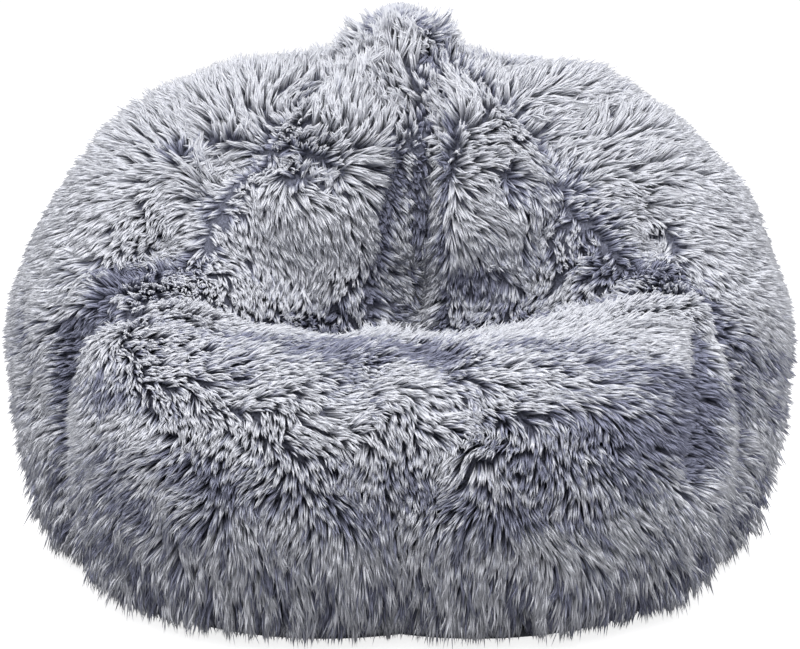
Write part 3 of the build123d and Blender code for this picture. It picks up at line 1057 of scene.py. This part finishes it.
    def tone(self):
        """Tone of each lock, from 0 for the darkest to 1 for the palest."""
        # Painted light: paler with height, where the overhead light falls on the backrest
        tone = TONE_LOW + TONE_PAINTED_TOP_LIGHT * rise(self.height, TONE_FOOT, TONE_RISE)
        # Painted highlight: paler along the seat's front edge, where the light from above and in front falls
        tone = tone + TONE_RIM_HIGHLIGHT * self.rim(RIM_HIGHLIGHT, RIM_HIGHLIGHT_WIDTH)
        # Painted shade: the tone is darkened round each of these places
        for middle, radii, dark in PAINTED_SHADES:
            off = (self.root - np.array(middle)) / np.array(radii)
            tone = tone - dark * bell(np.linalg.norm(off, axis=1), 1.0)
        tone = tone + TONE_STREAK * self.fringe * self.streak
        # Painted shade: darker in the gaps between the hanging clumps
        # Painted shade: darker where the pile sinks in seams and folds
        tone = tone + self.hung * (TONE_CLUMP - TONE_GAP_SHADE * self.edge) - TONE_FOLD_SHADE * self.sunk
        tone = tone + TONE_WANDER * (self.wander["fine tone"] + self.wander["broad tone"])
        return tone + (TONE_STRAY + TONE_FRINGE * self.fringe) * self.draw.normal(size=len(tone))


class BEANBAG_OT_pile(bpy.types.Operator):
    """Long frosted pile on the six gores"""

    bl_idname = "bean_bag.pile"
    bl_label = "Pile"

    def execute(self, context):
        cover = settings("cover")
        draw = np.random.default_rng(settings("pile").seed)
        material = pile_material()
        for gore in GORES:
            skin = bpy.data.objects[f"{gore}_skin"]
            locks = Locks(gore_points(skin.data, cover.columns, cover.rows), draw)
            fields = (locks.root, *locks.course(), locks.reach(), locks.tone())
            upper = locks.low < UPPER_SHARE
            for part, keep in (("upper", upper), ("lower", ~upper)):
                grow_pile(f"{gore}_pile_{part}", [field[keep] for field in fields], draw, material)
        return {"FINISHED"}


CORE_RADIUS = 0.47  # of the stuffed core of the crown, as a share of the cap's
CORE_SEGMENTS = 28
CORE_RINGS = 20
CORE_BARE = -0.6  # the core has no pile below this share of its radius
CORE_DIGITS = 5  # that tell two of its faces apart
TUFT_JITTER = 0.001
TUFT_SPREAD = 0.8
TUFT_TWIST = (0.3, 0.5)  # at the root and at the tip
TUFT_STRAY = 0.25
TUFT_LIFT = (-0.2, 0.9)  # at the core's waist, and what its top adds
TUFT_REACH = (0.9, -0.35)
TUFT_TONE = (0.08, 0.3)
TUFT_TONE_STRAY = 0.12


class BEANBAG_OT_crown(bpy.types.Operator):
    """Stuffed button of fur where the tips of the gores meet"""

    bl_idname = "bean_bag.crown"
    bl_label = "Crown"

    def execute(self, context):
        pile = settings("pile")
        draw = np.random.default_rng(pile.seed + 1)
        radius = CROWN_RADIUS * CORE_RADIUS
        middle = Vector((CROWN.x, CROWN.y, CROWN_TOP - CROWN_RADIUS))
        bm = bmesh.new()
        bmesh.ops.create_uvsphere(bm, u_segments=CORE_SEGMENTS, v_segments=CORE_RINGS, radius=radius)
        bmesh.ops.translate(bm, verts=bm.verts, vec=middle)
        backing = bpy.data.materials["pile_backing"]
        skin = finished("crown_skin", bm, backing, nodes=["crown_cap"])
        faces = [face for face in skin.data.polygons if face.center.z > middle.z + radius * CORE_BARE]
        faces.sort(key=lambda face: self.ring_place(face.center - middle))
        size = (len(faces), 3)
        root = np.array([face.center for face in faces]) + draw.normal(size=size) * TUFT_JITTER
        normal = np.array([face.normal for face in faces])
        turned = unit(np.cross(np.array([0.0, 0.0, 1.0]), normal) + 1e-6)
        up = (root[:, 2] - middle.z) / radius
        start = unit(normal + turned * TUFT_TWIST[0])
        end = normal * TUFT_SPREAD + turned * TUFT_TWIST[1] + draw.normal(size=size) * TUFT_STRAY
        end[:, 2] += TUFT_LIFT[0] + TUFT_LIFT[1] * up
        reach = pile.strand_length * (TUFT_REACH[0] + TUFT_REACH[1] * up)
        tone = TUFT_TONE[0] + TUFT_TONE[1] * up + TUFT_TONE_STRAY * draw.normal(size=len(faces))
        material = bpy.data.materials["shaggy_pile"]
        grow_pile("crown_pile", (root, start, unit(end), reach, tone), draw, material)
        return {"FINISHED"}

    def ring_place(self, off):
        """Ring and turn of a face of the core, because Blender makes its faces in no fixed order."""
        return round(off.z, CORE_DIGITS), round(math.atan2(off.y, off.x), CORE_DIGITS)


MERGE = 1e-5
FLAT_ANGLE = math.radians(1.0)
SHARP_ANGLE = math.radians(40)


def soft_copy(name, edge, lowest=None):
    """Bmesh of a CAD panel with its edges rounded over, its underside lifted off the floor if asked."""
    bm = bmesh.new()
    bm.from_mesh(frame["nodes"][name].data)
    bmesh.ops.remove_doubles(bm, verts=bm.verts, dist=MERGE)
    bmesh.ops.dissolve_limit(bm, angle_limit=FLAT_ANGLE, verts=bm.verts, edges=bm.edges)
    if lowest is not None:
        for vertex in bm.verts:
            vertex.co.z = max(vertex.co.z, lowest)
    sharp = [e for e in bm.edges if len(e.link_faces) == 2 and e.calc_face_angle() > SHARP_ANGLE]
    bmesh.ops.bevel(
        bm, geom=sharp, offset=edge, segments=3, profile=0.5, affect="EDGES", material=-1, clamp_overlap=True
    )
    return bm


STITCH_SIGHTS = 720  # directions in which the edge of the base is sighted
STITCH_HALF = 0.9  # of the recess that a stitch lies in


class BEANBAG_OT_base(bpy.types.Operator):
    """Hard-wearing base panels and their stitching"""

    bl_idname = "bean_bag.base"
    bl_label = "Base"

    def execute(self, context):
        base = settings("base")
        cloth = woven_material("base_cloth", base.cloth, base.weave, roughness=0.85)
        panels = ["base_front_panel", "base_back_panel"]
        for panel in panels:
            bm = soft_copy(panel, base.edge, base.recess)
            piece = finished(f"{panel}_cloth", bm, cloth, nodes=[panel])
        thread = woven_material("base_thread", base.thread, base.weave / 4, roughness=0.7)
        finished("base_stitching", self.stitch(solid_tree(panels), base), thread)
        return {"FINISHED"}

    def stitch(self, tree, base):
        """Run of stitches just inside the edge of the base."""
        line = []
        for turn in np.linspace(0.0, 2 * math.pi, STITCH_SIGHTS):
            outwards = Vector((math.sin(turn), -math.cos(turn), 0.0))
            origin = CROWN + outwards * SIGHT_FAR + Vector((0.0, 0.0, base.edge * 2))
            place = tree.ray_cast(origin, -outwards)[0]
            line.append(place - outwards * base.seam_margin)
        line = np.array(line)
        run = np.concatenate([[0.0], np.cumsum(np.linalg.norm(np.diff(line, axis=0), axis=1))])
        bm = bmesh.new()
        for middle in np.arange(0.0, run[-1] - base.stitch, base.stitch + base.stitch_gap):
            ends = [
                Vector([np.interp(at, run, line[:, axis]) for axis in (0, 1)] + [base.recess])
                for at in (middle, middle + base.stitch)
            ]
            made = bmesh.ops.create_icosphere(bm, subdivisions=1, radius=1.0)["verts"]
            half = base.recess * STITCH_HALF
            bmesh.ops.scale(bm, verts=made, vec=(base.stitch / 2, half, half))
            along = ends[1] - ends[0]
            turn = Matrix.Rotation(math.atan2(along.y, along.x), 3, "Z")
            bmesh.ops.rotate(bm, verts=made, cent=(0, 0, 0), matrix=turn)
            bmesh.ops.translate(bm, verts=made, vec=(ends[0] + ends[1]) / 2)
        return bm


TAPE_WEAVE = 0.0009
LINER_TAPE_WEAVE = 0.0008


class BEANBAG_OT_zips(bpy.types.Operator):
    """Finishes of the two zips, whose solids are shown as they are"""

    bl_idname = "bean_bag.zips"
    bl_label = "Zips"

    def execute(self, context):
        zips = settings("zips")
        tape = woven_material("zip_tape", zips.tape, TAPE_WEAVE, roughness=0.8)
        teeth = moulded_material("zip_teeth", zips.teeth, roughness=0.38, scale=900.0)
        metal = moulded_material("zip_metal", zips.metal, roughness=0.3, scale=1400.0, metallic=1.0)
        liner_tape = woven_material("liner_zip_tape", zips.liner_tape, LINER_TAPE_WEAVE, roughness=0.8)
        coil = moulded_material("liner_zip_coil", zips.coil, roughness=0.45, scale=1200.0)
        finishes = {
            tape: ["cover_zip_front_tape", "cover_zip_back_tape"],
            teeth: ["cover_zip_front_teeth", "cover_zip_back_teeth"],
            metal: [
                "cover_zip_stops",
                "cover_zip_slider",
                "cover_zip_pull",
                "liner_zip_slider",
                "liner_zip_stops",
            ],
            liner_tape: ["liner_zip_front_tape", "liner_zip_back_tape"],
            coil: ["liner_zip_front_coil", "liner_zip_back_coil"],
        }
        for finish, names in finishes.items():
            for name in names:
                slots = frame["nodes"][name].data.materials
                slots.clear()
                slots.append(finish)
        return {"FINISHED"}


LINER_UV = "weave"
PATCH_EDGE = 0.4  # roundness of the liner panels' edges, as a share of the cloth


class BEANBAG_OT_liner(bpy.types.Operator):
    """Plain liner inside the cover, and the beads that fill it"""

    bl_idname = "bean_bag.liner"
    bl_label = "Liner and filling"

    def execute(self, context):
        liner, cover = settings("liner"), settings("cover")
        columns = cover.columns // 2
        outside = cover_outside(columns, cover.rows // 2)
        outside = moved_in(outside, drawn_in(outside)[:, :, None])
        hang = even(moved_in(outside, liner.depth), INSET_PASSES)
        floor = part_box("liner_base_front_panel")[0].z
        hang[:, :, 2] = np.maximum(hang[:, :, 2], floor)
        hang[:, -1, :2] += unit(np.array(CROWN.xy) - hang[:, -1, :2]) * liner.tuck
        cloth = woven_material("liner_cloth", liner.white, liner.weave, roughness=0.9, uv=LINER_UV)
        for index, gore in enumerate(GORES):
            points = gore_part(hang, index, columns)
            bm = gore_mesh(points)
            self.lay_weave(bm, points)
            name = f"liner_{gore}"
            skin = finished(f"{name}_skin", bm, cloth, nodes=[f"{name}_gore"])
            walled(skin, liner.cloth)
        flat = woven_material("liner_panel_cloth", liner.white, liner.weave, roughness=0.9)
        for panel in ("liner_base_front_panel", "liner_base_back_panel", "liner_crown_patch"):
            bm = soft_copy(panel, liner.cloth * PATCH_EDGE)
            piece = finished(f"{panel}_cloth", bm, flat, nodes=[panel])
        self.pour_beads(outside, floor)
        return {"FINISHED"}

    def lay_weave(self, bm, points):
        """UV map in metres over a gore, so that the weave follows the cloth."""
        wide = np.linalg.norm(np.diff(points[:, points.shape[1] // 2], axis=0), axis=1).sum()
        tall = np.linalg.norm(np.diff(points[points.shape[0] // 2], axis=0), axis=1).sum()
        columns, rows = points.shape[0] - 1, points.shape[1] - 1
        flat = bmesh.new()
        bmesh.ops.create_grid(flat, x_segments=columns, y_segments=rows, size=0.5)
        flat.verts.ensure_lookup_table()
        layer = bm.loops.layers.uv.new(LINER_UV)
        for face in bm.faces:
            for loop in face.loops:
                place = flat.verts[loop.vert.index].co
                loop[layer].uv = (place.x * wide, place.y * tall)
        flat.free()

    def pour_beads(self, outside, floor):
        """Closed body of beads inside the liner."""
        liner = settings("liner")
        heap = even(moved_in(outside, liner.fill_depth), INSET_PASSES)
        heap[:, :, 2] = np.maximum(heap[:, :, 2], floor + 2 * liner.cloth)
        columns = len(heap) // len(GORES)
        bm = bmesh.new()
        for index in range(len(GORES)):
            part = gore_mesh(gore_part(heap, index, columns))
            mesh = bpy.data.meshes.new("heap")
            part.to_mesh(mesh)
            part.free()
            bm.from_mesh(mesh)
            bpy.data.meshes.remove(mesh)
        bmesh.ops.remove_doubles(bm, verts=bm.verts, dist=MERGE)
        bmesh.ops.holes_fill(bm, edges=[edge for edge in bm.edges if edge.is_boundary], sides=0)
        bmesh.ops.recalc_face_normals(bm, faces=bm.faces)
        beads = finished("bead_filling", bm, bead_material(), nodes=["bead_fill"])


def seen_ray(tree):
    """Socket that is 1 where a ray shows its target to the camera, directly or in a shine."""
    path = node(tree, "LightPath").outputs
    straight = node(tree, "Math", {0: path["Is Camera Ray"], 1: path["Is Glossy Ray"]}, operation="MAXIMUM")
    through = {0: straight.outputs["Value"], 1: path["Is Transmission Ray"]}
    return node(tree, "Math", through, operation="MAXIMUM").outputs["Value"]


WHITE = (1.0, 1.0, 1.0, 1.0)
FLOOR_HALF = 12.0
SENSOR_WIDTH = 36.0
LAMP_AIM = Vector((0.0, 0.0, 0.3))


class BEANBAG_OT_stage(bpy.types.Operator):
    """Floor, lights, sky and camera"""

    bl_idname = "bean_bag.stage"
    bl_label = "Stage"

    def execute(self, context):
        stage = settings("stage")
        scene = context.scene
        scene.view_settings.view_transform = "Standard"
        self.lay_floor(stage)
        self.light(scene, stage)
        back = Vector((0.0, -math.cos(stage.elevation), math.sin(stage.elevation)))
        lens = bpy.data.cameras.new("camera")
        lens.lens = stage.lens
        lens.sensor_width = SENSOR_WIDTH
        camera = bpy.data.objects.new("camera", lens)
        camera.location = Vector((0.0, 0.0, stage.aim)) + back * stage.distance
        camera.rotation_euler = (-back).to_track_quat("-Z", "Y").to_euler()
        scene.collection.objects.link(camera)
        scene.camera = camera
        return {"FINISHED"}

    def lay_floor(self, stage):
        """Floor that looks white and keeps the chair's shadow."""
        bm = bmesh.new()
        bmesh.ops.create_grid(bm, x_segments=1, y_segments=1, size=FLOOR_HALF)
        mesh = bpy.data.meshes.new("floor")
        bm.to_mesh(mesh)
        bm.free()
        material, tree, surface = shader("floor", Roughness=0.8)
        surface.inputs["Base Color"].default_value = tint(stage.floor)
        glow = node(tree, "Math", {0: seen_ray(tree), 1: stage.floor_glow}, operation="MULTIPLY")
        white = node(tree, "Emission", {"Color": WHITE, "Strength": glow.outputs["Value"]})
        mixed = node(tree, "AddShader", {0: surface.outputs["BSDF"], 1: white.outputs["Emission"]})
        output = next(part for part in tree.nodes if part.type == "OUTPUT_MATERIAL")
        tree.links.new(mixed.outputs["Shader"], output.inputs["Surface"])
        mesh.materials.append(material)
        floor = bpy.data.objects.new("floor", mesh)
        bpy.context.scene.collection.objects.link(floor)

    def light(self, scene, stage):
        """Even sky that looks white, and large soft lamps."""
        world = bpy.data.worlds.new("sky")
        scene.world = world
        world.use_nodes = True
        tree = world.node_tree
        tree.nodes.clear()
        strength = node(tree, "MapRange", {"Value": seen_ray(tree), "To Min": stage.sky, "To Max": 1.0})
        sky = node(tree, "Background", {"Color": WHITE, "Strength": strength.outputs["Result"]})
        node(tree, "OutputWorld", {"Surface": sky.outputs["Background"]})
        lamps = (
            ("overhead", Vector((0.0, -1.9, 2.6)), 3.0, stage.key),
            ("behind", Vector((0.0, 2.8, 1.5)), 2.0, stage.back),
            ("front", Vector((0.0, -3.0, 1.6)), 1.8, stage.fill),
            ("left", Vector((-2.4, -0.3, 1.5)), 1.8, stage.sides),
            ("right", Vector((2.4, -0.3, 1.5)), 1.8, stage.sides),
        )
        for name, place, size, watts in lamps:
            lamp = bpy.data.lights.new(name, "AREA")
            lamp.shape = "DISK"
            lamp.size = size
            lamp.energy = watts
            carrier = bpy.data.objects.new(name, lamp)
            carrier.location = place
            carrier.rotation_euler = (LAMP_AIM - place).to_track_quat("-Z", "Y").to_euler()
            scene.collection.objects.link(carrier)


OPERATORS = (
    BEANBAG_OT_cover,
    BEANBAG_OT_pile,
    BEANBAG_OT_crown,
    BEANBAG_OT_base,
    BEANBAG_OT_zips,
    BEANBAG_OT_liner,
    BEANBAG_OT_stage,
)
GROUPS = {
    "cover": CoverSettings,
    "pile": PileSettings,
    "base": BaseSettings,
    "zips": ZipSettings,
    "liner": LinerSettings,
    "stage": StageSettings,
}


class BEANBAG_PT_sidebar(bpy.types.Panel):
    """The pieces of the chair and their settings"""

    bl_idname = "BEANBAG_PT_sidebar"
    bl_label = "Bean Bag"
    bl_space_type = "VIEW_3D"
    bl_region_type = "UI"
    bl_category = "Bean Bag"

    def draw(self, context):
        for operator in OPERATORS:
            self.layout.operator(operator.bl_idname)
        for group in GROUPS:
            box = self.layout.box()
            held = settings(group)
            for name in held.bl_rna.properties.keys():
                if name not in ("rna_type", "name"):
                    box.prop(held, name)


def register():
    for group, kind in GROUPS.items():
        bpy.utils.register_class(kind)
        setattr(bpy.types.Scene, "bean_bag_" + group, PointerProperty(type=kind))
    for kind in OPERATORS + (BEANBAG_PT_sidebar,):
        bpy.utils.register_class(kind)


def unregister():
    for kind in (BEANBAG_PT_sidebar,) + OPERATORS[::-1]:
        bpy.utils.unregister_class(kind)
    for group, kind in GROUPS.items():
        delattr(bpy.types.Scene, "bean_bag_" + group)
        bpy.utils.unregister_class(kind)


def main():
    register()
    bpy.ops.bean_bag.cover()
    bpy.ops.bean_bag.pile()
    bpy.ops.bean_bag.crown()
    bpy.ops.bean_bag.base()
    bpy.ops.bean_bag.zips()
    bpy.ops.bean_bag.liner()
    bpy.ops.bean_bag.stage()


if __name__ == "__main__":
    main()
